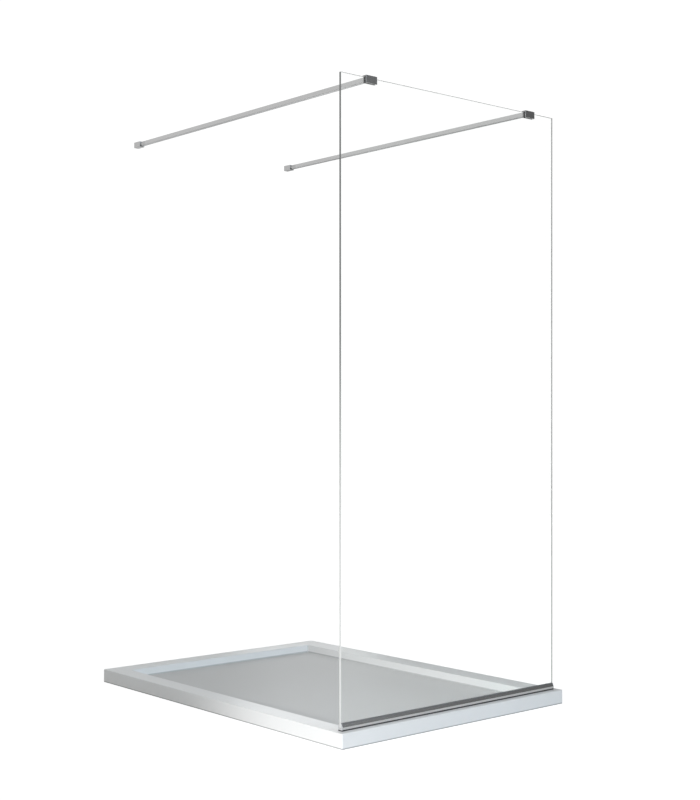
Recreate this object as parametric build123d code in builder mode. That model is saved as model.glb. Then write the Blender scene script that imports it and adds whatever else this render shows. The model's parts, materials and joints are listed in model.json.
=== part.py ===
"""Walk-in shower screen: cast tray, glass panel in a floor channel, two bars to the wall.

The glass stands along X, the bars run along +Y to the wall, and Z is up.
The origin is the middle of the tray's underside. All sizes are in millimetres.
"""
from build123d import *
import os

os.makedirs("parts", exist_ok=True)


# Shower tray: a solid cast slab with a basin and a floor that falls to the waste
tray_width = 1000.0
tray_length = 1400.0
tray_height = 48.0
tray_corner_radius = 4.0
tray_edge_radius = 2.5
tray_foot_chamfer = 1.5
rim_left = 68.0
rim_right = 85.0
rim_back = 83.0
rim_front = 85.0
basin_corner_radius = 8.0
basin_edge_radius = 2.0
floor_corner_radius = 4.0
basin_depth = 26.5
basin_wall_run = 12.0
floor_fall = 7.5

# Waste outlet in the front left corner of the basin floor
waste_bore_diameter = 90.0
waste_from_wall = 64.0
waste_pad_margin = 4.0
rebate_clearance = 1.0
seal_thickness = 1.5
seal_bore_clearance = 1.0
flange_diameter = 114.0
flange_thickness = 2.0
flange_ring_width = 20.0
flange_below_floor = 1.0
grate_hub_diameter = 22.0
grate_screw_diameter = 6.5
grate_spoke_width = 5.0
grate_spoke_count = 6
cover_diameter = 104.0
cover_edge_thickness = 1.6
cover_crown = 1.4
cover_foot_height = 1.5
cover_foot_diameter = 6.0
cover_foot_circle = 92.0
cover_foot_count = 4

# Glass panel, standing in the floor channel along the front rim
glass_width = 960.0
glass_height = 1980.0
glass_thickness = 8.0
glass_arris = 0.8
glass_setback = 34.0

# Floor channel with its bedding strip, end caps, screws, blocks and gaskets
strip_thickness = 3.0
strip_recess = 0.8
channel_width = 20.0
channel_height = 18.5
channel_floor = 3.0
channel_shoulder_height = 8.5
channel_lip = 1.3
channel_screw_count = 5
channel_screw_end_distance = 60.0
groove_depth = 0.9
groove_height = 2.2
groove_below_lip = 4.0
gasket_depth = 11.0
gasket_thickness = 1.5
gasket_bead_height = 1.2
gasket_barb_clearance = 0.1
cap_thickness = 2.0
cap_slot_clearance = 0.4
cap_peg_length = 8.0
cap_peg_clearance = 0.3
setting_block_height = 4.0
setting_block_length = 60.0
setting_block_count = 2
setting_block_spacing = 640.0

# Screws
channel_screw_diameter = 4.0
channel_screw_head_diameter = 8.0
channel_screw_length = 26.0
channel_screw_socket = 1.2
screw_clearance = 0.05
clamp_screw_diameter = 5.0
bar_screw_diameter = 4.0
bar_screw_length = 4.5
hex_key_share = 0.5
hex_key_depth = 2.0

# Two support bars and their glass clamps
arm_spacing = 720.0
bar_size = 15.0
bar_wall = 1.5
bar_corner_radius = 1.2
spigot_length = 22.0
spigot_clearance = 0.1
clamp_width = 45.0
clamp_height = 24.0
clamp_over_glass = 6.0
clamp_outer_leg = 3.5
clamp_inner_leg = 4.5
clamp_edge_radius = 0.8
liner_thickness = 1.0
clamp_screw_spacing = 29.0
clamp_screw_above_base = 8.0
bar_below_clamp_top = 0.5

# Wall end of each bar: fork, pin, block with a tongue, and the boss under the block
wall_inset = 5.0
block_size = 21.0
block_length = 40.0
block_edge_radius = 0.8
pin_from_block = 9.5
pin_diameter = 5.0
pin_running_clearance = 0.05
pin_seat_clearance = 0.01
fork_length = 24.0
fork_slot_relief = 0.5
tongue_thickness = 6.0
tongue_width = 14.0
tongue_clearance = 0.3
boss_size = 14.8
boss_length = 12.0
boss_clearance = 0.1
boss_head_room = 2.0
wall_screw_hole_diameter = 5.2
wall_screw_sink_diameter = 10.0
wall_grub_from_wall = 6.0

# Heights and places worked out from the sizes above
floor_edge_height = tray_height - basin_depth
waste_pad_height = floor_edge_height - floor_fall
basin_width = tray_width - rim_left - rim_right
basin_length = tray_length - rim_front - rim_back
basin_x = (rim_left - rim_right) / 2
basin_y = (rim_front - rim_back) / 2
floor_width = basin_width - 2 * basin_wall_run
floor_length = basin_length - 2 * basin_wall_run
waste_x = basin_x - floor_width / 2 + waste_from_wall
waste_y = basin_y - floor_length / 2 + waste_from_wall
rebate_diameter = flange_diameter + 2 * rebate_clearance
waste_pad_size = rebate_diameter + 2 * waste_pad_margin
flange_top = waste_pad_height - flange_below_floor
flange_base = flange_top - flange_thickness
ledge_height = flange_base - seal_thickness
cover_base = flange_top + cover_foot_height

glass_line = -tray_length / 2 + glass_setback
channel_base = tray_height + strip_thickness
channel_inside = channel_base + channel_floor
channel_top = channel_base + channel_height
channel_mouth = glass_thickness + 2 * gasket_thickness
glass_bottom = channel_inside + setting_block_height
glass_top = glass_bottom + glass_height
glass_front = glass_line - glass_thickness / 2
glass_back = glass_line + glass_thickness / 2
channel_screw_span = glass_width - 2 * channel_screw_end_distance
channel_screw_pitch = channel_screw_span / (channel_screw_count - 1)
filling_length = glass_width - 2 * cap_thickness

clamp_top = glass_top + clamp_over_glass
clamp_base = clamp_top - clamp_height
clamp_front = glass_front - liner_thickness - clamp_outer_leg
clamp_back = glass_back + liner_thickness + clamp_inner_leg
bar_height = clamp_top - bar_below_clamp_top - bar_size / 2
spigot_size = bar_size - 2 * bar_wall - 2 * spigot_clearance
wall_face = tray_length / 2 - wall_inset
block_front = wall_face - block_length
pin_y = block_front - pin_from_block
fork_back = pin_y - fork_length
fork_slot = tongue_thickness + 2 * tongue_clearance
boss_cavity = boss_size + 2 * boss_clearance


def hex_socket(thread_diameter):
    """Draw the outline of a screw's hexagon socket, whose flats are a share of the thread."""
    RegularPolygon(thread_diameter * hex_key_share / 2, 6, major_radius=False)


def save(piece, node):
    """Label a finished piece and write it as its own file."""
    piece.part.label = node
    export_step(piece.part, f"parts/{node}.step")


# Shower tray
with BuildPart() as shower_tray:
    with BuildSketch():
        RectangleRounded(tray_width, tray_length, tray_corner_radius)
    extrude(amount=tray_height)
    fillet(shower_tray.edges().group_by(Axis.Z)[-1], tray_edge_radius)
    chamfer(shower_tray.edges().group_by(Axis.Z)[0], tray_foot_chamfer)
    # The basin's four walls lean outwards towards the rim
    with BuildSketch(Plane.XY.offset(tray_height)):
        with Locations((basin_x, basin_y)):
            RectangleRounded(basin_width, basin_length, basin_corner_radius)
    with BuildSketch(Plane.XY.offset(floor_edge_height)):
        with Locations((basin_x, basin_y)):
            RectangleRounded(floor_width, floor_length, floor_corner_radius)
    loft(ruled=True, mode=Mode.SUBTRACT)
    rim_top = shower_tray.faces().sort_by(Axis.Z)[-1]
    fillet(rim_top.inner_wires()[0].edges(), basin_edge_radius)
    # Four flat falls meet in mitres and run down to the pad around the waste
    with BuildSketch(Plane.XY.offset(floor_edge_height)):
        with Locations((basin_x, basin_y)):
            RectangleRounded(floor_width, floor_length, floor_corner_radius)
    with BuildSketch(Plane.XY.offset(waste_pad_height)):
        with Locations((waste_x, waste_y)):
            RectangleRounded(waste_pad_size, waste_pad_size, floor_corner_radius)
    loft(ruled=True, mode=Mode.SUBTRACT)
    with Locations((waste_x, waste_y, waste_pad_height)):
        CounterBoreHole(
            radius=waste_bore_diameter / 2,
            counter_bore_radius=rebate_diameter / 2,
            counter_bore_depth=waste_pad_height - ledge_height,
        )
    with Locations((0, glass_line, tray_height)):
        with GridLocations(channel_screw_pitch, 1, channel_screw_count, 1):
            Hole(
                radius=channel_screw_diameter / 2 + screw_clearance,
                depth=channel_screw_length - channel_floor - strip_thickness,
            )
save(shower_tray, "shower_tray")

# Waste seal, a flat rubber ring on the rebate's ledge
with BuildPart() as waste_seal:
    with BuildSketch(Plane.XY.offset(ledge_height)):
        with Locations((waste_x, waste_y)):
            Circle(flange_diameter / 2)
            Circle(waste_bore_diameter / 2 + seal_bore_clearance, mode=Mode.SUBTRACT)
    extrude(amount=seal_thickness)
save(waste_seal, "waste_seal")

# Waste flange with a spoked grate and a hub for the trap's centre screw
with BuildPart() as waste_flange:
    with BuildSketch(Plane.XY.offset(flange_base)):
        with Locations((waste_x, waste_y)):
            Circle(flange_diameter / 2)
            Circle(flange_diameter / 2 - flange_ring_width, mode=Mode.SUBTRACT)
            Circle(grate_hub_diameter / 2)
            with PolarLocations(0, grate_spoke_count, rotate=True):
                Rectangle(
                    flange_diameter / 2 - flange_ring_width / 2,
                    grate_spoke_width,
                    align=(Align.MIN, Align.CENTER),
                )
            Circle(grate_screw_diameter / 2, mode=Mode.SUBTRACT)
    extrude(amount=flange_thickness)
save(waste_flange, "waste_flange")

# Waste cover, a shallow crowned disc that lifts off its four feet
with BuildPart() as waste_cover:
    with Locations((waste_x, waste_y, cover_base)):
        Cylinder(
            cover_diameter / 2,
            cover_edge_thickness + cover_crown,
            align=(Align.CENTER, Align.CENTER, Align.MIN),
        )
    crown_radius = ((cover_diameter / 2) ** 2 + cover_crown**2) / (2 * cover_crown)
    with Locations((waste_x, waste_y, cover_base + cover_edge_thickness + cover_crown - crown_radius)):
        Sphere(crown_radius, mode=Mode.INTERSECT)
    with BuildSketch(Plane.XY.offset(cover_base)):
        with Locations((waste_x, waste_y)):
            with PolarLocations(cover_foot_circle / 2, cover_foot_count):
                Circle(cover_foot_diameter / 2)
    extrude(amount=-cover_foot_height)
save(waste_cover, "waste_cover")

# Bedding strip, a black rubber bed between the rim and the channel
with BuildPart() as bedding_strip:
    with BuildSketch(Plane.XY.offset(tray_height)):
        with Locations((0, glass_line)):
            Rectangle(glass_width - 2 * strip_recess, channel_width - 2 * strip_recess)
            with GridLocations(channel_screw_pitch, 1, channel_screw_count, 1):
                Circle(channel_screw_diameter / 2 + screw_clearance, mode=Mode.SUBTRACT)
    extrude(amount=strip_thickness)
save(bedding_strip, "bedding_strip")

# The channel's section: a square foot, then shoulders that slope in to the glass
channel_plane = Plane((0, glass_line, channel_base), x_dir=(0, 1, 0), z_dir=(1, 0, 0))
groove_top = channel_height - groove_below_lip
with BuildSketch() as channel_outline:
    with BuildLine():
        Polyline(
            (-channel_width / 2, 0),
            (channel_width / 2, 0),
            (channel_width / 2, channel_shoulder_height),
            (channel_mouth / 2 + channel_lip, channel_height),
            (-channel_mouth / 2 - channel_lip, channel_height),
            (-channel_width / 2, channel_shoulder_height),
            close=True,
        )
    make_face()

# Floor channel, an extrusion with a gasket groove in each leg
with BuildPart() as floor_channel:
    with BuildSketch(channel_plane):
        add(channel_outline.sketch_local)
        with Locations((0, channel_floor)):
            Rectangle(channel_mouth, channel_height, align=(Align.CENTER, Align.MIN), mode=Mode.SUBTRACT)
        with Locations((0, groove_top)):
            Rectangle(
                channel_mouth + 2 * groove_depth,
                groove_height,
                align=(Align.CENTER, Align.MAX),
                mode=Mode.SUBTRACT,
            )
    extrude(amount=filling_length / 2, both=True)
    with Locations((0, glass_line, channel_inside)):
        with GridLocations(channel_screw_pitch, 1, channel_screw_count, 1):
            CounterSinkHole(
                radius=channel_screw_diameter / 2 + screw_clearance,
                counter_sink_radius=channel_screw_head_diameter / 2 + screw_clearance,
                depth=channel_floor,
                counter_sink_angle=90,
            )
save(floor_channel, "floor_channel")

# End caps: a plate with the channel's outline, open for the glass, on a peg below it
with BuildPart() as channel_end_caps:
    for side in (-1, 1):
        inner_face = side * (glass_width / 2 - cap_thickness)
        with BuildSketch(channel_plane.offset(inner_face)):
            add(channel_outline.sketch_local)
            with Locations((0, channel_floor + setting_block_height - cap_slot_clearance)):
                Rectangle(
                    glass_thickness + 2 * cap_slot_clearance,
                    channel_height,
                    align=(Align.CENTER, Align.MIN),
                    mode=Mode.SUBTRACT,
                )
        extrude(amount=side * cap_thickness)
        with BuildSketch(channel_plane.offset(inner_face)):
            with Locations((0, channel_floor + cap_peg_clearance)):
                Rectangle(
                    channel_mouth - 2 * cap_peg_clearance,
                    setting_block_height - 2 * cap_peg_clearance - cap_slot_clearance,
                    align=(Align.CENTER, Align.MIN),
                )
        extrude(amount=-side * cap_peg_length)
save(channel_end_caps, "channel_end_caps")

# Countersunk screws that hold the channel down to the rim
with BuildPart() as channel_screws:
    head_height = (channel_screw_head_diameter - channel_screw_diameter) / 2
    point_height = channel_screw_diameter
    with Locations((0, glass_line, channel_inside)):
        with GridLocations(channel_screw_pitch, 1, channel_screw_count, 1):
            top = (Align.CENTER, Align.CENTER, Align.MAX)
            Cone(channel_screw_diameter / 2, channel_screw_head_diameter / 2, head_height, align=top)
            Cylinder(channel_screw_diameter / 2, channel_screw_length - point_height, align=top)
    with Locations((0, glass_line, channel_inside - channel_screw_length + point_height)):
        with GridLocations(channel_screw_pitch, 1, channel_screw_count, 1):
            Cone(channel_screw_diameter / 10, channel_screw_diameter / 2, point_height, align=top)
    with BuildSketch(Plane.XY.offset(channel_inside)):
        with Locations((0, glass_line)):
            with GridLocations(channel_screw_pitch, 1, channel_screw_count, 1):
                hex_socket(channel_screw_diameter)
    extrude(amount=-channel_screw_socket, mode=Mode.SUBTRACT)
save(channel_screws, "channel_screws")

# Setting blocks under the glass
with BuildPart() as setting_blocks:
    with BuildSketch(Plane.XY.offset(channel_inside)):
        with Locations((0, glass_line)):
            with GridLocations(setting_block_spacing, 1, setting_block_count, 1):
                Rectangle(setting_block_length, glass_thickness)
    extrude(amount=setting_block_height)
save(setting_blocks, "setting_blocks")

# Gaskets: a wedge each side of the glass, barbed into the groove, with a bead on the lip
for node, side in (("outer_gasket", -1), ("inner_gasket", 1)):
    glass_side = side * glass_thickness / 2
    leg_side = side * channel_mouth / 2
    lip_side = leg_side + side * channel_lip / 2
    barb_side = leg_side + side * (groove_depth - gasket_barb_clearance)
    barb_top = groove_top - gasket_barb_clearance
    barb_base = groove_top - groove_height + gasket_barb_clearance
    with BuildPart() as gasket:
        with BuildSketch(channel_plane):
            with BuildLine():
                Polyline(
                    (glass_side, channel_height - gasket_depth),
                    (leg_side, channel_height - gasket_depth),
                    (leg_side, barb_base),
                    (barb_side, barb_top),
                    (leg_side, barb_top),
                    (leg_side, channel_height),
                    (lip_side, channel_height),
                    (glass_side, channel_height + gasket_bead_height),
                    close=True,
                )
            make_face()
        extrude(amount=filling_length / 2, both=True)
    save(gasket, node)

# Glass panel with its edges arrissed
with BuildPart() as glass_panel:
    with BuildSketch(Plane.XY.offset(glass_bottom)):
        with Locations((0, glass_line)):
            Rectangle(glass_width, glass_thickness)
    extrude(amount=glass_height)
    chamfer(glass_panel.edges(), glass_arris)
save(glass_panel, "glass_panel")


# The two bars, each from its clamp on the glass to its block on the wall
for side, arm_x in (("near", -arm_spacing / 2), ("far", arm_spacing / 2)):
    clamp_section = Plane((arm_x, glass_line, clamp_base), x_dir=(0, 1, 0), z_dir=(1, 0, 0))
    clamp_rear = Plane((arm_x, clamp_back, bar_height), x_dir=(-1, 0, 0), z_dir=(0, 1, 0))
    fork_rear = Plane((arm_x, fork_back, bar_height), x_dir=(1, 0, 0), z_dir=(0, -1, 0))
    wall_plane = Plane((arm_x, wall_face, bar_height), x_dir=(1, 0, 0), z_dir=(0, -1, 0))
    bar_under = bar_height - bar_size / 2
    screw_ends = (clamp_back + spigot_length / 2, fork_back - spigot_length / 2)
    screw_planes = [Plane((arm_x, y, bar_under), x_dir=(1, 0, 0), z_dir=(0, 0, -1)) for y in screw_ends]
    clamp_screw_drop = bar_height - clamp_base - clamp_screw_above_base

    # Clamp body: a block slotted over the top edge of the glass, with the bar's spigot
    with BuildPart() as clamp_body:
        with BuildSketch(clamp_section):
            with Locations((clamp_front - glass_line, 0)):
                Rectangle(clamp_back - clamp_front, clamp_height, align=(Align.MIN, Align.MIN))
        extrude(amount=clamp_width / 2, both=True)
        fillet(clamp_body.edges(), clamp_edge_radius)
        with BuildSketch(clamp_section):
            Rectangle(
                glass_thickness + 2 * liner_thickness,
                clamp_height - clamp_over_glass + liner_thickness,
                align=(Align.CENTER, Align.MIN),
            )
        extrude(amount=clamp_width / 2, both=True, mode=Mode.SUBTRACT)
        with BuildSketch(clamp_rear):
            Rectangle(spigot_size, spigot_size)
        extrude(amount=spigot_length)
        with Locations(clamp_rear):
            with Locations((0, -clamp_screw_drop, 0)):
                with GridLocations(clamp_screw_spacing, 1, 2, 1):
                    Hole(radius=clamp_screw_diameter / 2 + screw_clearance, depth=clamp_inner_leg)
        with Locations(screw_planes[0]):
            Hole(radius=bar_screw_diameter / 2 + screw_clearance, depth=bar_screw_length)
    save(clamp_body, f"{side}_clamp_body")

    # Clamp liner: a rubber channel folded over the edge of the glass
    with BuildPart() as clamp_liner:
        liner_drop = clamp_height - clamp_over_glass
        with BuildSketch(clamp_section):
            Rectangle(
                glass_thickness + 2 * liner_thickness,
                liner_drop + liner_thickness,
                align=(Align.CENTER, Align.MIN),
            )
            Rectangle(glass_thickness, liner_drop, align=(Align.CENTER, Align.MIN), mode=Mode.SUBTRACT)
        extrude(amount=clamp_width / 2 - clamp_edge_radius, both=True)
    save(clamp_liner, f"{side}_clamp_liner")

    # Clamp screws: two socket grub screws that press on the liner
    with BuildPart() as clamp_screws:
        with BuildSketch(clamp_rear):
            with Locations((0, -clamp_screw_drop)):
                with GridLocations(clamp_screw_spacing, 1, 2, 1):
                    Circle(clamp_screw_diameter / 2)
        extrude(amount=-clamp_inner_leg)
        with BuildSketch(clamp_rear):
            with Locations((0, -clamp_screw_drop)):
                with GridLocations(clamp_screw_spacing, 1, 2, 1):
                    hex_socket(clamp_screw_diameter)
        extrude(amount=-hex_key_depth, mode=Mode.SUBTRACT)
    save(clamp_screws, f"{side}_clamp_screws")

    # Support bar: a square tube over the spigots at both ends
    with BuildPart() as support_bar:
        with BuildSketch(clamp_rear):
            RectangleRounded(bar_size, bar_size, bar_corner_radius)
            Rectangle(bar_size - 2 * bar_wall, bar_size - 2 * bar_wall, mode=Mode.SUBTRACT)
        extrude(amount=fork_back - clamp_back)
        with Locations(*screw_planes):
            Hole(radius=bar_screw_diameter / 2 + screw_clearance, depth=bar_wall)
    save(support_bar, f"{side}_support_bar")

    # Bar screws: a grub screw up into each spigot
    with BuildPart() as bar_screws:
        with Locations(*screw_planes):
            Cylinder(bar_screw_diameter / 2, bar_screw_length, align=(Align.CENTER, Align.CENTER, Align.MAX))
        with BuildSketch(*screw_planes):
            hex_socket(bar_screw_diameter)
        extrude(amount=-hex_key_depth, mode=Mode.SUBTRACT)
    save(bar_screws, f"{side}_bar_screws")

    # Bar fork: the swivel's two cheeks, with a spigot into the bar
    with BuildPart() as bar_fork:
        with BuildSketch(Plane.XY.offset(bar_under)):
            with Locations((arm_x, fork_back)):
                Rectangle(bar_size, fork_length, align=(Align.CENTER, Align.MIN))
            with Locations((arm_x, pin_y)):
                Circle(bar_size / 2)
        extrude(amount=bar_size)
        fillet(bar_fork.edges().filter_by(Axis.Y), bar_corner_radius)
        with BuildSketch(Plane.XY.offset(bar_height - fork_slot / 2)):
            with Locations((arm_x, pin_y - tongue_width / 2 - fork_slot_relief)):
                Rectangle(2 * bar_size, 2 * bar_size, align=(Align.CENTER, Align.MIN))
        extrude(amount=fork_slot, mode=Mode.SUBTRACT)
        with Locations((arm_x, pin_y, bar_height + bar_size / 2)):
            Hole(radius=pin_diameter / 2 + pin_seat_clearance, depth=bar_size)
        with BuildSketch(fork_rear):
            Rectangle(spigot_size, spigot_size)
        extrude(amount=spigot_length)
        with Locations(screw_planes[1]):
            Hole(radius=bar_screw_diameter / 2 + screw_clearance, depth=bar_screw_length)
    save(bar_fork, f"{side}_bar_fork")

    # Pivot pin, held in the fork's cheeks
    with BuildPart() as pivot_pin:
        with BuildSketch(Plane.XY.offset(bar_under)):
            with Locations((arm_x, pin_y)):
                Circle(pin_diameter / 2)
        extrude(amount=bar_size)
        chamfer(pivot_pin.edges().filter_by(GeomType.CIRCLE), pin_diameter / 10)
    save(pivot_pin, f"{side}_pivot_pin")

    # Wall block: a square cup over the boss, with the tongue that turns on the pin
    with BuildPart() as wall_block:
        with BuildSketch(wall_plane):
            Rectangle(block_size, block_size)
        extrude(amount=block_length)
        long_edges = wall_block.edges().filter_by(Axis.Y)
        front_edges = wall_block.edges().group_by(Axis.Y)[0]
        fillet(long_edges + front_edges, block_edge_radius)
        with BuildSketch(wall_plane):
            Rectangle(boss_cavity, boss_cavity)
        extrude(amount=boss_length + boss_head_room, mode=Mode.SUBTRACT)
        with BuildSketch(Plane.XY.offset(bar_height - tongue_thickness / 2)):
            with Locations((arm_x, pin_y)):
                Circle(tongue_width / 2)
                Rectangle(tongue_width, pin_from_block, align=(Align.CENTER, Align.MIN))
        extrude(amount=tongue_thickness)
        with Locations((arm_x, pin_y, bar_height + tongue_thickness / 2)):
            Hole(radius=pin_diameter / 2 + pin_running_clearance, depth=tongue_thickness)
        grub_mouth = Plane(
            (arm_x, wall_face - wall_grub_from_wall, bar_height - block_size / 2),
            x_dir=(1, 0, 0),
            z_dir=(0, 0, -1),
        )
        with Locations(grub_mouth):
            Hole(radius=bar_screw_diameter / 2 + screw_clearance, depth=block_size / 2 - boss_size / 2)
    save(wall_block, f"{side}_wall_block")

    # Wall boss, the plug that a wall screw holds under the block
    with BuildPart() as wall_boss:
        with BuildSketch(wall_plane):
            Rectangle(boss_size, boss_size)
        extrude(amount=boss_length)
        with Locations(wall_plane.offset(boss_length)):
            CounterSinkHole(
                radius=wall_screw_hole_diameter / 2,
                counter_sink_radius=wall_screw_sink_diameter / 2,
                counter_sink_angle=90,
            )
    save(wall_boss, f"{side}_wall_boss")

    # Wall grub screw, up through the block against the boss
    with BuildPart() as wall_grub_screw:
        with BuildSketch(grub_mouth):
            Circle(bar_screw_diameter / 2)
        extrude(amount=-(block_size - boss_size) / 2)
        with BuildSketch(grub_mouth):
            hex_socket(bar_screw_diameter)
        extrude(amount=-hex_key_depth, mode=Mode.SUBTRACT)
    save(wall_grub_screw, f"{side}_wall_grub_screw")
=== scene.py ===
# %% [markdown]
# # A walk-in shower screen
# A pane of toughened glass stands in a metal channel on a low white tray. Two square bars hold its
# top edge to the wall. The solids come ready made from the frame, so this lesson is about three other
# things: a camera that stands where the photographer stood, finishes that look right close up, and
# soft light. A few small pieces that need finer shapes than the solids are made again here.

# %% Load the frame
import json
import math

import bpy
import numpy as np
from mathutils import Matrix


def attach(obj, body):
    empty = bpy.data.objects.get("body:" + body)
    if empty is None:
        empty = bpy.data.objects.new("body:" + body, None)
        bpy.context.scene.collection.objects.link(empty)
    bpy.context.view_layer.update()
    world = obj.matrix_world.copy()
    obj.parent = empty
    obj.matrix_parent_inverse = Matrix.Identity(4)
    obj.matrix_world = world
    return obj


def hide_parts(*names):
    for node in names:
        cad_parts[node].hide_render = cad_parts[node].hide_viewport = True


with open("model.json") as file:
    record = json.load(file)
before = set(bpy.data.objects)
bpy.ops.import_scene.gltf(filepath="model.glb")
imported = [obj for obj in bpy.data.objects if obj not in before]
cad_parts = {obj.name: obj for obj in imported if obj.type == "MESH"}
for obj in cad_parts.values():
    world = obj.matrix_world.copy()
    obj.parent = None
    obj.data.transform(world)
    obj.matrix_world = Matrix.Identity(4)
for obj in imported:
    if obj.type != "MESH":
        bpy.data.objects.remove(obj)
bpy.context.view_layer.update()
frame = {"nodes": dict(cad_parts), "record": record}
nodes = frame["nodes"]
slot_of = {part["node"]: part["material_slot"] for part in frame["record"]["subparts"]}

# %% [markdown]
# ## The camera
# The photograph was taken from a little under a metre above the floor with the camera level, so
# upright edges stay upright. Its place and lens were worked out from the tray's and the channel's
# straight edges. The picture was cropped a little off centre, which the two small shifts repeat.

# %% Set the camera
PHOTO_WIDTH = 700
PHOTO_HEIGHT = 800
FOCAL_PIXELS = 1350.57
HORIZON_ROW = 418.73
CENTRE_COLUMN = 380.18
CAMERA_PLACE = (-3.08903, -3.79787, 0.99059)
CAMERA_TURN = math.radians(-41.501)
SENSOR = 36.0

camera_data = bpy.data.cameras.new("photo_camera")
camera_data.sensor_fit = "VERTICAL"
camera_data.sensor_height = SENSOR
camera_data.lens = SENSOR * FOCAL_PIXELS / PHOTO_HEIGHT
camera_data.shift_x = (PHOTO_WIDTH / 2 - CENTRE_COLUMN) / PHOTO_HEIGHT
camera_data.shift_y = (HORIZON_ROW - PHOTO_HEIGHT / 2) / PHOTO_HEIGHT
camera = bpy.data.objects.new("photo_camera", camera_data)
camera.location = CAMERA_PLACE
camera.rotation_euler = (math.pi / 2, 0, CAMERA_TURN)
bpy.context.scene.collection.objects.link(camera)
bpy.context.scene.camera = camera
print(f"lens {camera_data.lens:.1f} mm, shift {camera_data.shift_x:.4f} {camera_data.shift_y:.4f}")

# %% [markdown]
# ## Shader maths as Python
# A finish is a graph of nodes, which is tedious to wire by hand. The small class below wraps one
# output socket. Adding, subtracting or multiplying two wires adds the Math node that does it, so a
# pattern can be written as a sum. Every other node comes from one method, `add`.

# %% Wrap a socket
class Wire:
    """One output of a node, which arithmetic can extend with Math nodes."""

    def __init__(self, tree, socket):
        self.tree = tree
        self.socket = socket

    def add(self, kind, settings=None, inputs=None, output=0):
        """Add a node of this kind: its settings first, then values or wires into its sockets."""
        node = self.tree.nodes.new(kind)
        for name, value in (settings or {}).items():
            setattr(node, name, value)
        for key, value in (inputs or {}).items():
            if isinstance(value, Wire):
                self.tree.links.new(value.socket, node.inputs[key])
            else:
                node.inputs[key].default_value = value
        return Wire(self.tree, node.outputs[output])

    def math(self, operation, first, second=0.0):
        return self.add("ShaderNodeMath", {"operation": operation}, {0: first, 1: second})

    def __add__(self, other):
        return self.math("ADD", self, other)

    def __sub__(self, other):
        return self.math("SUBTRACT", self, other)

    def __mul__(self, other):
        return self.math("MULTIPLY", self, other)

    def __gt__(self, other):
        return self.math("GREATER_THAN", self, other)

    def __rsub__(self, other):
        return self.math("SUBTRACT", other, self)

    __radd__ = __add__
    __rmul__ = __mul__

    def clamp(self):
        return self.add("ShaderNodeClamp", inputs={0: self})

    def beside(self, output):
        """Another output of the same node."""
        return Wire(self.tree, self.socket.node.outputs[output])

    def rise(self, low, high):
        """0 below low, 1 above high and a soft step between them."""
        settings = {"interpolation_type": "SMOOTHSTEP"}
        return self.add("ShaderNodeMapRange", settings, {0: self, 1: low, 2: high})

    def blend(self, first, second):
        """Mix two colours, with this wire as the factor."""
        settings = {"data_type": "RGBA"}
        return self.add("ShaderNodeMix", settings, {0: self, 6: first, 7: second}, output=2)


print("shader maths ready")

# %% Start a finish
def new_finish(name):
    """An empty material with its output, and a wire that reads Object coordinates in metres."""
    material = bpy.data.materials.new(name)
    material.use_nodes = True
    tree = material.node_tree
    tree.nodes.clear()
    tree.nodes.new("ShaderNodeOutputMaterial")
    coordinates = tree.nodes.new("ShaderNodeTexCoord")
    return material, Wire(tree, coordinates.outputs["Object"])


def show(wire):
    """Send a shader to its material's output."""
    tree = wire.tree
    output = next(n for n in tree.nodes if n.type == "OUTPUT_MATERIAL")
    tree.links.new(wire.socket, output.inputs["Surface"])


def stretched(place, scale):
    """Coordinates scaled by a different amount along each axis, which stretches a pattern."""
    return place.add("ShaderNodeMapping", {"vector_type": "POINT"}, {"Vector": place, "Scale": scale})


def noise(place, scale, detail=2.0):
    """Soft random spots from 0 to 1, about one over scale metres wide."""
    return place.add("ShaderNodeTexNoise", inputs={"Vector": place, "Scale": scale, "Detail": detail})


def bump(height, strength, distance):
    """A normal that follows a small height pattern, whose full height is distance metres."""
    inputs = {"Height": height, "Strength": strength, "Distance": distance}
    return height.add("ShaderNodeBump", inputs=inputs)


def principled(place, **sockets):
    """A Principled shader. Underscores in a socket's name stand for spaces."""
    inputs = {name.replace("_", " "): value for name, value in sockets.items()}
    return place.add("ShaderNodeBsdfPrincipled", inputs=inputs)


def grey(value, tint=(1.0, 1.0, 1.0)):
    """A colour of that brightness, with an optional tint."""
    return (value * tint[0], value * tint[1], value * tint[2], 1.0)


finishes = {}
print("finish helpers ready")

# %% [markdown]
# ## The tray's gelcoat
# The tray is cast from resin and filler behind a white gelcoat. Up close a gelcoat isn't perfectly
# flat: it has a faint orange peel, a few millimetres wide, and its gloss varies a little where it was
# polished. The floor that feet stand on is made matt against slipping, and painted shade makes its
# colour darker than the rim's. How far a point lies inside the floor's rectangle tells the two apart.
# The tight corner round it and the basin's upright corners get a fine dark line of painted shade.
# A line of painted shadow, about 4 mm high, runs round the foot, where the tray stands on the floor.

# %% Finish: gelcoat
FLOOR_MIDDLE = (-0.0085, 0.001)
FLOOR_HALF = (0.4115, 0.604)
RIM_COLOUR = (0.795, 0.80, 0.80)
# The basin floor's colour is darker than the rim's by painted shade.
SHADED_BASIN_COLOUR = (0.625, 0.625, 0.62)
# Colour of the painted shade and shadow lines.
SHADE_LINE_COLOUR = (0.32, 0.33, 0.33, 1.0)
# Strength of the painted shade in the basin's corners, and of the painted shadow round the foot.
INNER_SHADE = 0.6
TRAY_FOOT_SHADOW = 0.85

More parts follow.
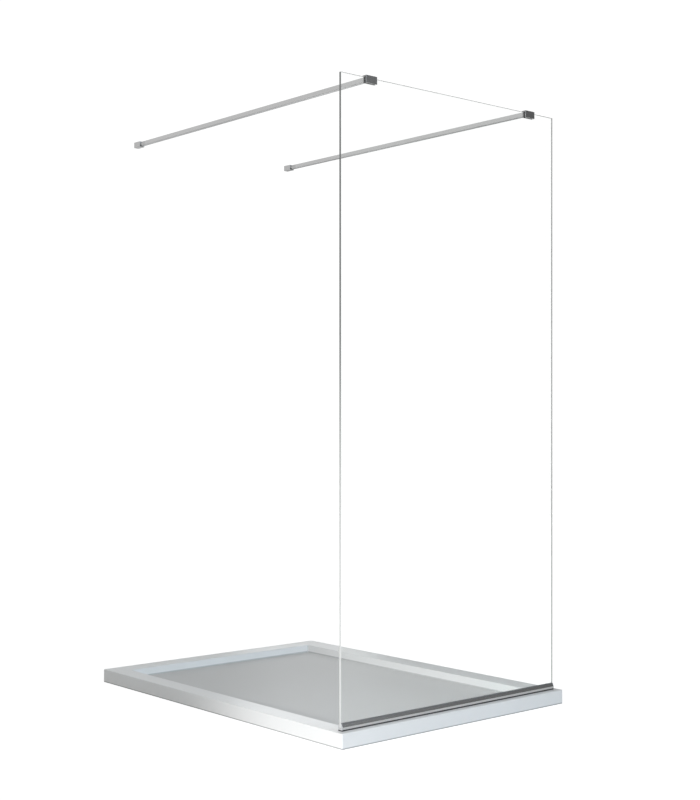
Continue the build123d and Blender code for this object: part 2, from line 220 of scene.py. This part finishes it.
material, place = new_finish("tray_white")
across = place.add("ShaderNodeSeparateXYZ", inputs={0: place})
inside_x = FLOOR_HALF[0] - across.math("ABSOLUTE", across - FLOOR_MIDDLE[0])
inside_y = FLOOR_HALF[1] - across.math("ABSOLUTE", across.beside(1) - FLOOR_MIDDLE[1])
inside = across.math("MINIMUM", inside_x, inside_y)
matt_and_shaded_floor = inside.rise(0.0, 0.004)
# Painted shade: a fine dark line along the floor's tight corner and up the basin's corners.
corner_shade_line = 1.0 - across.math("ABSOLUTE", inside).rise(0.0008, 0.0026)
mitre_shade_line = 1.0 - across.math("ABSOLUTE", inside_x - inside_y).rise(0.0006, 0.0022)
wall_corner_shade = mitre_shade_line * (1.0 - inside.rise(-0.001, 0.0))
height = across.beside(2)
recess = inside.rise(-0.016, -0.013) * (1.0 - height.rise(0.044, 0.047))
inner_shade_lines = across.math("MAXIMUM", corner_shade_line, wall_corner_shade) * recess * INNER_SHADE
# Painted shadow: the lowest few millimetres of the tray are darkened, where it stands on the floor.
tray_foot_shadow = (1.0 - height.rise(0.0028, 0.0048)) * TRAY_FOOT_SHADOW
shade = across.math("MAXIMUM", inner_shade_lines, tray_foot_shadow)
cast = noise(place, 2.6, 3.0)
peel = noise(place, 260.0, 1.0)
grip = noise(place, 900.0, 2.0)
smooth_colour = cast.blend(grey(0.98, RIM_COLOUR), grey(1.0, RIM_COLOUR))
# Painted shade: the matt basin floor takes the darker colour.
matt_shaded_colour = cast.blend(grey(0.97, SHADED_BASIN_COLOUR), grey(1.0, SHADED_BASIN_COLOUR))
colour = shade.blend(matt_and_shaded_floor.blend(smooth_colour, matt_shaded_colour), SHADE_LINE_COLOUR)
gloss = cast * 0.05 + peel * 0.04 + matt_and_shaded_floor * 0.22 + 0.29
relief = peel * (1.0 - matt_and_shaded_floor) + grip * matt_and_shaded_floor
show(principled(place, Base_Color=colour, Roughness=gloss, IOR=1.5, Normal=bump(relief, 0.15, 0.0002)))
finishes["tray_white"] = material
print("tray_white: smooth rim, matt floor")

# %% [markdown]
# ## Drawn and polished aluminium
# The channel and the bars are extrusions. Pulling the metal through its die leaves fine lines along
# its length, which anodising softens but doesn't hide. The lines are noise that is stretched a
# hundredfold along the bar. The clamps and wall blocks are cut from bar, tumbled and polished, so
# their lines are replaced by soft mottling.

# %% Finish: extruded and polished metal
# Heights where painted shade starts on the channel's sloping top, and where the painted shadow along its
# foot ends.
SHADED_SHOULDER = (0.0578, 0.0600)
CHANNEL_FOOT_SHADOW = (0.0516, 0.0528)
FOOT_SHADOW_TONE = 0.05


def extruded(name, tone, roughness, along, shoulder_shade=1.0):
    """Anodised aluminium with die lines along one axis, 0 for X or 1 for Y.

    Given a share below 1, it paints shade on the sloping part of the floor channel, darkening it to
    that share, and a dark line of painted shadow along its foot, where it stands on the rubber bed.
    """
    material, place = new_finish(name)
    scale = [900.0, 900.0, 900.0]
    scale[along] = 6.0
    lines = noise(stretched(place, scale), 1.0, 3.0)
    mottle = noise(place, 14.0, 2.0)
    colour = (lines * 0.7 + mottle * 0.3).blend(grey(tone * 0.90), grey(tone * 1.08))
    # Painted shade darkens the sloping top, and a painted shadow darkens the foot.
    if shoulder_shade < 1.0:
        height = place.add("ShaderNodeSeparateXYZ", inputs={0: place}, output=2)
        dark = lines.blend(grey(tone * shoulder_shade * 0.85), grey(tone * shoulder_shade * 1.1))
        colour = height.rise(*SHADED_SHOULDER).blend(colour, dark)
        colour = height.rise(*CHANNEL_FOOT_SHADOW).blend(grey(FOOT_SHADOW_TONE), colour)
    gloss = lines * 0.14 + (roughness - 0.07)
    sockets = {"Base_Color": colour, "Roughness": gloss, "Metallic": 1.0}
    show(principled(place, **sockets, Normal=bump(lines, 0.10, 0.0001)))
    finishes[name] = material
    print(f"{name}: die lines along {'XYZ'[along]}")


def polished(name, tone, roughness, wear=0.08):
    """Metal with soft mottling and fine random scratches."""
    material, place = new_finish(name)
    mottle = noise(place, 60.0, 3.0)
    scratches = noise(stretched(place, (2400.0, 300.0, 1500.0)), 1.0, 2.0)
    colour = mottle.blend(grey(tone * (1 - wear)), grey(tone * (1 + wear)))
    gloss = mottle * 0.06 + scratches * 0.05 + (roughness - 0.05)
    sockets = {"Base_Color": colour, "Roughness": gloss, "Metallic": 1.0}
    show(principled(place, **sockets, Normal=bump(scratches, 0.05, 0.00005)))
    finishes[name] = material
    print(f"{name}: polished metal")


extruded("channel_aluminium", 0.69, 0.24, along=0, shoulder_shade=0.51)
extruded("bar_aluminium", 0.57, 0.26, along=1)
polished("clamp_metal", 0.28, 0.24)
polished("fork_metal", 0.48, 0.24)
polished("block_metal", 0.51, 0.24)
polished("stainless_steel", 0.42, 0.28)
polished("waste_steel", 0.55, 0.30)
polished("waste_chrome", 0.72, 0.08, wear=0.03)

# %% [markdown]
# ## Rubber and plastic
# Extruded rubber is matt and has a fine bloom. Moulded plastic has the grain of its mould. Both are
# the same graph with other numbers, so one function makes them.

# %% Finish: rubber and plastic
def moulded(name, colour, roughness, grain):
    """Rubber or plastic with a fine grain, about one over grain metres wide."""
    material, place = new_finish(name)
    bloom = noise(place, 40.0, 3.0)
    fine = noise(place, grain, 2.0)
    shade = bloom.blend((*[c * 0.88 for c in colour], 1.0), (*[c * 1.08 for c in colour], 1.0))
    gloss = bloom * 0.10 + fine * 0.06 + (roughness - 0.08)
    show(principled(place, Base_Color=shade, Roughness=gloss, Normal=bump(fine, 0.15, 0.0001)))
    finishes[name] = material
    print(f"{name}: moulded")


moulded("black_rubber", (0.018, 0.018, 0.020), 0.62, 1500.0)
moulded("grey_rubber", (0.16, 0.165, 0.17), 0.55, 1500.0)
moulded("dark_plastic", (0.030, 0.030, 0.033), 0.48, 2200.0)
moulded("cap_plastic", (0.50, 0.51, 0.52), 0.40, 2200.0)

# %% [markdown]
# ## Glass
# Seen square on, the pane is clear. What the eye finds are its edges: they are ground and arrissed,
# so they scatter light and look pale grey, a little green from the iron in the glass. The normal says
# which is which: a face that points along Y is the pane, and any other is an edge. Low down, the near
# edge gets a painted highlight for the light it catches from the white tray. The far edge, seen through
# the pane, gets painted shade and is darker. The top and bottom edges are mostly see-through. Lamps
# must shine through the pane, so rays from lamps meet a Transparent shader there.

# %% Finish: clear glass
# Painted light: low down, the edge colour is paler, fading to HIGH_EDGE between 0.1 and 1.6 m.
LIT_LOW_EDGE = [(0.57, 0.58, 0.575, 1.0), (0.63, 0.64, 0.635, 1.0)]
HIGH_EDGE = [(0.27, 0.275, 0.27, 1.0), (0.33, 0.34, 0.335, 1.0)]
PAINTED_LIGHT_FADE = (0.1, 1.6)
# Painted shade: the edge beyond x = 0.4 m is darker.
SHADED_FAR_EDGE = (0.12, 0.125, 0.122, 1.0)
SHADED_FAR_EDGE_STARTS = 0.4
TOP_CLEARNESS = 0.88

material, place = new_finish("clear_glass")
normal = place.add("ShaderNodeNewGeometry", output=1)
across = place.add("ShaderNodeSeparateXYZ", inputs={0: normal}, output=1)
is_edge = 1.0 - (place.math("ABSOLUTE", across) > 0.9)
lamp_ray = place.add("ShaderNodeLightPath", output=1)
pane = principled(place, Base_Color=(0.99, 1.0, 0.996, 1.0), Roughness=0.0, IOR=1.5, Transmission_Weight=1.0)
clear = place.add("ShaderNodeBsdfTransparent", inputs={"Color": (0.94, 0.97, 0.96, 1.0)})
open_edge = place.add("ShaderNodeBsdfTransparent", inputs={"Color": grey(1.0)})
ground = noise(place, 900.0, 2.0)
place_along = place.add("ShaderNodeSeparateXYZ", inputs={0: place})
lit_low_colour = ground.blend(*LIT_LOW_EDGE)
high_colour = ground.blend(*HIGH_EDGE)
# Painted light: the near edge is paler low down.
near_edge_lit_low = place_along.beside(2).rise(*PAINTED_LIGHT_FADE).blend(lit_low_colour, high_colour)
# Painted shade on the far edge.
edge_tone_and_painted_light = (place_along > SHADED_FAR_EDGE_STARTS).blend(near_edge_lit_low, SHADED_FAR_EDGE)
edge = principled(place, Base_Color=edge_tone_and_painted_light, Roughness=ground * 0.15 + 0.25, IOR=1.5)
top_edge = (place.math("ABSOLUTE", across.beside(2)) > 0.9) * TOP_CLEARNESS
soft_edge = place.add("ShaderNodeMixShader", inputs={0: top_edge, 1: edge, 2: open_edge})
pane_or_lamp = place.add("ShaderNodeMixShader", inputs={0: lamp_ray, 1: pane, 2: clear})
show(place.add("ShaderNodeMixShader", inputs={0: is_edge, 1: pane_or_lamp, 2: soft_edge}))
finishes["clear_glass"] = material
print("clear_glass: clear pane with ground edges")

# %% Give every solid its finish
for name, solid in nodes.items():
    for slot in solid.material_slots:
        slot.material = finishes[slot_of[name]]
print("finished solids:", len(nodes))

# %% [markdown]
# ## Finer small pieces
# The solids carry every main shape. Some small pieces deserve rounder edges than a solid gives them:
# extruded rubber, moulded caps, turned screws and the polished waste cover. Each is a surface worked
# out on a grid with numpy and takes the place of its solid. The first helpers turn a grid of points
# into a mesh and join the rows of the grid with faces.

# %% Turn grids into meshes
MILLIMETRE = 0.001


def grid_faces(rows, columns):
    """Quads between the rows of a grid whose last column joins the first one."""
    row, column = np.meshgrid(np.arange(rows - 1), np.arange(columns), indexing="ij")
    right = (column + 1) % columns
    corners = [row * columns + column, row * columns + right, (row + 1) * columns + right]
    return np.stack([*corners, (row + 1) * columns + column], axis=-1).reshape(-1, 4)


def closed_skin(rings):
    """Points and faces of a closed skin over an array of rings, each an array of points.

    Neighbouring rings are joined by quads, and the first and last ring are filled with one face.
    """
    rows, columns = rings.shape[:2]
    faces = grid_faces(rows, columns).tolist()
    faces.append(list(range(columns))[::-1])
    faces.append([(rows - 1) * columns + k for k in range(columns)])
    return rings.reshape(-1, 3), faces


def join_skins(skins):
    """Several skins as one list of points and one list of faces."""
    points, faces, start = [], [], 0
    for skin_points, skin_faces in skins:
        points.append(skin_points)
        faces += [[start + k for k in face] for face in skin_faces]
        start += len(skin_points)
    return np.concatenate(points), faces


def place_piece(name, skin, node, finish):
    """Make the piece, give it its finish and body, and let it stand in for its solid."""
    points, faces = skin
    mesh = bpy.data.meshes.new(name)
    mesh.from_pydata((points * MILLIMETRE).tolist(), [], faces)
    mesh.materials.append(finishes[finish])
    piece = bpy.data.objects.new(name, mesh)
    bpy.context.scene.collection.objects.link(piece)
    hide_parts(node)
    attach(piece, body_of[node])
    print(f"{name}: {len(points)} points for {node}")


bodies = frame["record"]["behaviour"]["bodies"]
body_of = {node: body for body, members in bodies.items() for node in members}
print("bodies of the nodes:", sorted(set(body_of.values())))

# %% [markdown]
# ## Extruded rubber
# A gasket is squeezed out of a shaped hole, so every slice of it along the glass is the same: a flat
# back against the pane, a barb that holds it in the channel's groove, and a rounded bead that sheds
# water from the glass. The slice is drawn once as a closed outline and carried along X. The numbers
# here are millimetres from the middle of the glass and from the underside of the channel.

# %% Gaskets
GLASS_LINE = -666.0
CHANNEL_BASE = 51.0
FILLING_HALF = 478.0
GASKET_FOOT = 7.5
GASKET_SIDE = 5.5
BARB = [(GASKET_SIDE, 12.4), (6.3, 14.3), (6.2, 14.4), (GASKET_SIDE, 14.4)]
# The bead's side on the glass, its outer side, its base and its height above that base.
BEAD = (4.0, 6.15, 18.5, 1.2)


def arc(centre, radii, start, stop, count):
    """Points on an ellipse: centre plus radii times cosine and sine of evenly spaced angles."""
    angle = np.radians(np.linspace(start, stop, count))
    return np.stack([centre[0] + radii[0] * np.cos(angle), centre[1] + radii[1] * np.sin(angle)], axis=-1)


def carry_along_x(outline, stations):
    """Rings of the same outline, whose points are across and up, at each station along X."""
    rings = np.empty((len(stations), len(outline), 3))
    rings[..., 0] = np.asarray(stations)[:, None]
    rings[..., 1] = GLASS_LINE + outline[:, 0]
    rings[..., 2] = CHANNEL_BASE + outline[:, 1]
    return rings


half = (GASKET_SIDE - BEAD[0]) / 2
foot = arc((BEAD[0] + half, GASKET_FOOT + half), (half, half), 180, 360, 9)
barb = np.array([*BARB, (GASKET_SIDE, BEAD[2])])
bead = arc((BEAD[0], BEAD[2]), (BEAD[1] - BEAD[0], BEAD[3]), 0, 90, 9)
gasket_outline = np.concatenate([foot, barb, bead])
for node, side in (("outer_gasket", -1), ("inner_gasket", 1)):
    outline = gasket_outline * (side, 1.0)
    rings = carry_along_x(outline[::side], (-FILLING_HALF, 0.0, FILLING_HALF))
    place_piece(f"rounded_{node}", closed_skin(rings), node, "grey_rubber")

# %% [markdown]
# ## Softened edges
# A moulded cap has no sharp edge, because plastic doesn't fill one. Its plate is the channel's outline
# with a slot for the glass. Each ring towards the outer face is the outline moved inwards a little
# more, along the quarter of a circle that a rounded edge follows. The rubber bed under the channel is
# squeezed by the screws, so its sides bulge.

# %% End caps and bedding strip
CAP_OUTLINE = [(-10, 0), (10, 0), (10, 8.5), (6.8, 18.5), (4.4, 18.5), (4.4, 6.6)]
CAP_OUTLINE += [(-4.4, 6.6), (-4.4, 18.5), (-6.8, 18.5), (-10, 8.5)]
CAP_PEG = [(-5.2, 3.3), (5.2, 3.3), (5.2, 6.3), (-5.2, 6.3)]
CAP_FACES = (478.0, 480.0)
CAP_ROUNDING = 0.6
PEG_LENGTH = 8.0
STRIP_HALF = 479.2
STRIP_THICKNESS = 3.0
STRIP_SIDE = 9.2
STRIP_BULGE = 0.5


def move_inwards(outline, distance):
    """The outline with every side moved inwards by the distance, its corners on their bisectors."""
    along = np.roll(outline, -1, axis=0) - outline
    along /= np.linalg.norm(along, axis=1, keepdims=True)
    inward = np.stack([-along[:, 1], along[:, 0]], axis=-1)
    before = np.roll(inward, 1, axis=0)
    share = 1 + np.sum(inward * before, axis=1, keepdims=True)
    return outline + distance * (inward + before) / share


def rounded_plate(outline, inner, outer, rounding):
    """A plate between two places along X whose outer edge follows a quarter of a circle."""
    side = np.sign(outer - inner)
    turn = np.radians(np.linspace(0, 90, 5))
    insets = np.concatenate([[0.0], rounding * (1 - np.cos(turn))])
    stations = np.concatenate([[inner], outer - side * rounding * (1 - np.sin(turn))])
    rings = [carry_along_x(move_inwards(outline, inset), [x])[0] for inset, x in zip(insets, stations)]
    return np.array(rings)[:: int(side)]


cap = np.array(CAP_OUTLINE, float)
peg = np.array(CAP_PEG)
skins = []
for side in (-1, 1):
    inner, outer = side * CAP_FACES[0], side * CAP_FACES[1]
    skins.append(closed_skin(rounded_plate(cap, inner, outer, CAP_ROUNDING)))
    skins.append(closed_skin(carry_along_x(peg, sorted((inner - side * PEG_LENGTH, inner)))))
place_piece("softened_end_caps", join_skins(skins), "channel_end_caps", "cap_plastic")

half = STRIP_THICKNESS / 2
back_bulge = arc((STRIP_SIDE, -half), (STRIP_BULGE, half), -90, 90, 7)
front_bulge = arc((-STRIP_SIDE, -half), (STRIP_BULGE, half), 90, 270, 7)
bulges = np.concatenate([back_bulge, front_bulge])
strip = closed_skin(carry_along_x(bulges, (-STRIP_HALF, 0.0, STRIP_HALF)))
place_piece("squeezed_bedding_strip", strip, "bedding_strip", "black_rubber")

# %% [markdown]
# ## Threaded grub screws
# A grub screw is a short headless screw with a hexagon socket. Round its axis and along its length its
# radius is a function of two numbers, the turn and the depth. The thread is a triangle wave of depth
# plus turn, which is what winds it into a helix. The socket is a hexagon: its radius is the distance
# to a flat, divided by the cosine of the turn away from the middle of that flat.

# %% Grub screws
SCREW_COLUMNS = 36
RINGS_PER_PITCH = 6
UPWARDS = (0, 0, 1)
FORWARDS = (0, -1, 0)
CLAMP_SCREW = {"radius": 2.5, "length": 4.5, "pitch": 0.8}
CLAMP_SCREW_MOUTH = (-656.5, 2028.0)
CLAMP_SCREW_OFFSETS = (-14.5, 14.5)
BAR_SCREW = {"radius": 2.0, "length": 4.5, "pitch": 0.7}
BAR_SCREW_PLACES = (-645.5, 610.5)
BAR_SCREW_BASE = 2028.5
WALL_SCREW = {"radius": 2.0, "length": 3.1, "pitch": 0.7}
WALL_SCREW_MOUTH = (689.0, 2025.5)


def grub_screw(mouth, inward, radius, length, pitch):
    """Skin of a screw whose socket opens at mouth and which runs inward, a unit vector."""
    turn = np.linspace(0, 2 * np.pi, SCREW_COLUMNS, endpoint=False)
    depth = np.linspace(0.12 * radius, length - 0.3 * radius, int(length / pitch * RINGS_PER_PITCH))
    wave = np.abs((depth[:, None] / pitch + turn / (2 * np.pi)) % 1.0 - 0.5) * 2
    fade = np.clip(np.minimum(depth, length - depth) / pitch - 0.2, 0, 1)[:, None]
    thread = radius - 0.5 * pitch * wave * fade
    flat = radius / 2 / np.cos(turn % (np.pi / 3) - np.pi / 6)
    sections = [(radius, flat * 0.02), (radius, flat), (0.0, flat * 1.06), (0.0, turn * 0 + 0.88 * radius)]
    radii = np.array([r for _, r in sections] + list(thread) + [turn * 0 + 0.6 * radius])
    depths = np.array([d for d, _ in sections] + list(depth) + [length])
    inward = np.array(inward, float)
    first = np.array([inward[2], inward[0], inward[1]])
    second = np.cross(inward, first)
    across = radii[..., None] * (np.cos(turn)[:, None] * first + np.sin(turn)[:, None] * second)
    return closed_skin(np.array(mouth) + depths[:, None, None] * inward + across)


for side, arm_x in (("near", -360.0), ("far", 360.0)):
    mouths = [(arm_x + offset, *CLAMP_SCREW_MOUTH) for offset in CLAMP_SCREW_OFFSETS]
    screws = join_skins([grub_screw(mouth, FORWARDS, **CLAMP_SCREW) for mouth in mouths])
    place_piece(f"{side}_threaded_clamp_screws", screws, f"{side}_clamp_screws", "stainless_steel")
    mouths = [(arm_x, along, BAR_SCREW_BASE) for along in BAR_SCREW_PLACES]
    screws = join_skins([grub_screw(mouth, UPWARDS, **BAR_SCREW) for mouth in mouths])
    place_piece(f"{side}_threaded_bar_screws", screws, f"{side}_bar_screws", "stainless_steel")
    screw = grub_screw((arm_x, *WALL_SCREW_MOUTH), UPWARDS, **WALL_SCREW)
    place_piece(f"{side}_threaded_wall_screw", screw, f"{side}_wall_grub_screw", "stainless_steel")

# %% [markdown]
# ## The waste cover
# The chromed cover is pressed from sheet, so its edge is rolled and its crown is a shallow dome. A
# pressed disc is a profile turned round its axis: the height falls with the square of the radius, and
# the rim follows nearly half a circle. Four short feet hold it off the grate, so water runs in under
# its edge.

# %% Waste cover
COVER_CENTRE = (-356.0, -539.0)
COVER_RADIUS = 52.0
COVER_BASE = 14.5
COVER_EDGE = 1.6
COVER_CROWN = 1.4
COVER_MIDDLE = 0.5
UNDERSIDE_RING = 30.0
COVER_COLUMNS = 96
FOOT_CIRCLE = 46.0
FOOT_COUNT = 4
FOOT_COLUMNS = 24
FOOT_TIP = [(2.6, 13.0), (3.0, 13.3)]
FOOT_OVERLAP = 0.2


def turned(profile, centre, columns):
    """Rings of the profile, whose points are a radius and a height, turned round an upright axis."""
    turn = np.linspace(0, 2 * np.pi, columns, endpoint=False)
    rings = np.empty((len(profile), columns, 3))
    rings[..., 0] = centre[0] + profile[:, :1] * np.cos(turn)
    rings[..., 1] = centre[1] + profile[:, :1] * np.sin(turn)
    rings[..., 2] = profile[:, 1:]
    return rings


half = COVER_EDGE / 2
reach = np.linspace(COVER_MIDDLE, COVER_RADIUS - half, 14)
dome = COVER_BASE + COVER_EDGE + COVER_CROWN * (1 - (reach / reach[-1]) ** 2)
underside = [(COVER_MIDDLE, COVER_BASE), (UNDERSIDE_RING, COVER_BASE)]
rim = arc((COVER_RADIUS - half, COVER_BASE + half), (half, half), -90, 78, 8)
crown = np.stack([reach, dome], axis=-1)[::-1]
profile = np.concatenate([underside, rim, crown])
skins = [closed_skin(turned(profile, COVER_CENTRE, COVER_COLUMNS))]
foot_profile = np.array([*FOOT_TIP, (FOOT_TIP[1][0], COVER_BASE + FOOT_OVERLAP)])
for number in range(FOOT_COUNT):
    angle = 2 * math.pi * number / FOOT_COUNT
    foot_x = COVER_CENTRE[0] + FOOT_CIRCLE * math.cos(angle)
    foot_y = COVER_CENTRE[1] + FOOT_CIRCLE * math.sin(angle)
    skins.append(closed_skin(turned(foot_profile, (foot_x, foot_y), FOOT_COLUMNS)))
place_piece("pressed_waste_cover", join_skins(skins), "waste_cover", "waste_chrome")

# %% [markdown]
# ## Floor and background
# A catalogue photograph is taken on white, with hardly any shadow. The floor is a wide pale disc.
# What the camera sees of it, straight on or through glass, is partly its own shaded colour and partly a
# glow brighter than white, and a reflection shows a little of that glow too. The floor then reads as
# pure white, which hides the object's soft shadow as well.

# %% Make the floor
FLOOR_RADIUS = 9.0
FLOOR_RINGS = 24
FLOOR_SPOKES = 96

ring, spoke = np.meshgrid(np.arange(1, FLOOR_RINGS + 1), np.arange(FLOOR_SPOKES), indexing="ij")
radius = FLOOR_RADIUS * (ring / FLOOR_RINGS) ** 2
angle = 2 * np.pi * spoke / FLOOR_SPOKES
disc = np.stack([radius * np.cos(angle), radius * np.sin(angle), 0 * radius], axis=-1).reshape(-1, 3)
floor_faces = grid_faces(FLOOR_RINGS, FLOOR_SPOKES).tolist()
floor_faces.append(list(range(FLOOR_SPOKES)))
floor = bpy.data.objects.new("floor", bpy.data.meshes.new("floor"))
floor.data.from_pydata(disc.tolist(), [], floor_faces)
bpy.context.scene.collection.objects.link(floor)
print("floor points:", len(disc))

# %% Finish: floor
WHITE_SHARE = 0.6
WHITE_LEVEL = 1.45
MIRRORED_SHARE = 0.1

material, place = new_finish("pale_floor")
shaded_colour = noise(place, 1.5, 2.0).blend(grey(0.88), grey(0.91))
shaded = place.add("ShaderNodeBsdfDiffuse", inputs={"Color": shaded_colour})
white = place.add("ShaderNodeEmission", inputs={"Color": grey(1.0), "Strength": WHITE_LEVEL})
seen = place.add("ShaderNodeLightPath", output="Is Camera Ray")
mirrored = place.add("ShaderNodeLightPath", output="Is Glossy Ray")
through = place.add("ShaderNodeLightPath", output="Is Transmission Ray")
white_factor = (seen + through).clamp() * WHITE_SHARE + mirrored * MIRRORED_SHARE
show(place.add("ShaderNodeMixShader", inputs={0: white_factor, 1: shaded, 2: white}))
floor.data.materials.append(material)
print("pale_floor: white where it is seen")

# %% [markdown]
# ## Light
# Soft light comes from all round and loses nearly half of its strength towards the right. A wide soft
# sun from the front adds a little shape. The photograph has a bright patch on the near corner of the
# tray and on the glass edge above it. A low spot lamp gives it, and a small lamp behind adds the gleam
# along the top of the rim. Polished metal shows what stands round it, and a studio isn't equally white
# all round, so a reflection sees much darker surroundings to the right, and slightly darker ones above.

# %% Light the scene
def add_lamp(name, kind, place, target, settings):
    """A lamp at place that faces target."""
    lamp = bpy.data.lights.new(name, kind)
    for key, value in settings.items():
        setattr(lamp, key, value)
    holder = bpy.data.objects.new(name, lamp)
    forward = np.subtract(target, place)
    level = math.hypot(forward[0], forward[1])
    holder.location = place
    holder.rotation_euler = (math.atan2(level, -forward[2]), 0, math.atan2(-forward[0], forward[1]))
    bpy.context.scene.collection.objects.link(holder)
    print(f"{name}: energy {lamp.energy}")
    return holder


SUN = {"energy": 0.98, "angle": math.radians(50), "color": (0.68, 0.84, 1.0)}
SPOT = {"energy": 128.0, "spot_size": math.radians(58), "spot_blend": 0.5, "shadow_soft_size": 0.2}
GLEAM = {"energy": 2.4, "shape": "RECTANGLE", "size": 0.7, "size_y": 0.5}
add_lamp("soft_sun", "SUN", (0.2, -3.4, 1.4), (0.0, 0.0, 0.0), SUN)
# The spot lights the near corner. The glass edge above it is also paler by painted light.
add_lamp("corner_spot", "SPOT", (-2.4, -1.3, 0.6), (-0.5, -1.05, 0.25), SPOT)
gleam = add_lamp("corner_gleam", "AREA", (1.35, 1.8, 0.72), (-0.5, -0.6, 0.05), GLEAM)
gleam.visible_transmission = False

# %% Light the surroundings
LOW_WALL = math.sin(math.radians(12))
CEILING = math.sin(math.radians(26))
STUDIO_LEVEL = 0.88
CEILING_DIM = 0.057
RIGHT_DIM = 0.7
RIGHT_WALL = (0.48, 0.68)
AMBIENT_LEVEL = 0.492
AMBIENT_RIGHT_DIM = 0.452
LEFT_TO_RIGHT = (-0.3, 0.7)
AMBIENT_COLOUR = (1.0, 0.985, 0.955, 1.0)
BACKDROP_LEVEL = 1.06

world = bpy.data.worlds.new("soft_daylight")
world.use_nodes = True
tree = world.node_tree
tree.nodes.clear()
output = tree.nodes.new("ShaderNodeOutputWorld")
camera_ray = Wire(tree, tree.nodes.new("ShaderNodeLightPath").outputs["Is Camera Ray"])
direction = camera_ray.add("ShaderNodeTexCoord")
toward = direction.add("ShaderNodeSeparateXYZ", inputs={0: direction})
upward = toward.beside(2)
ambient_shape = 1.0 - toward.rise(*LEFT_TO_RIGHT) * AMBIENT_RIGHT_DIM
dimmed_above = 1.0 - upward.rise(LOW_WALL, CEILING) * CEILING_DIM
studio_shape = dimmed_above - toward.rise(*RIGHT_WALL) * RIGHT_DIM
ambient_light = {"Color": AMBIENT_COLOUR, "Strength": ambient_shape * AMBIENT_LEVEL}
studio_light = {"Color": grey(1.0), "Strength": studio_shape.clamp() * STUDIO_LEVEL}
ambient = direction.add("ShaderNodeBackground", inputs=ambient_light)
studio = direction.add("ShaderNodeBackground", inputs=studio_light)
backdrop_light = {"Color": grey(1.0), "Strength": BACKDROP_LEVEL}
backdrop = direction.add("ShaderNodeBackground", inputs=backdrop_light)
is_mirrored = camera_ray.beside("Is Glossy Ray")
lit = direction.add("ShaderNodeMixShader", inputs={0: is_mirrored, 1: ambient, 2: studio})
is_seen = (camera_ray + camera_ray.beside("Is Transmission Ray")).clamp()
sky = direction.add("ShaderNodeMixShader", inputs={0: is_seen, 1: lit, 2: backdrop})
tree.links.new(sky.socket, output.inputs["Surface"])
bpy.context.scene.world = world
bpy.context.scene.view_settings.view_transform = "Standard"
print("world: soft light all round, weaker from the right")
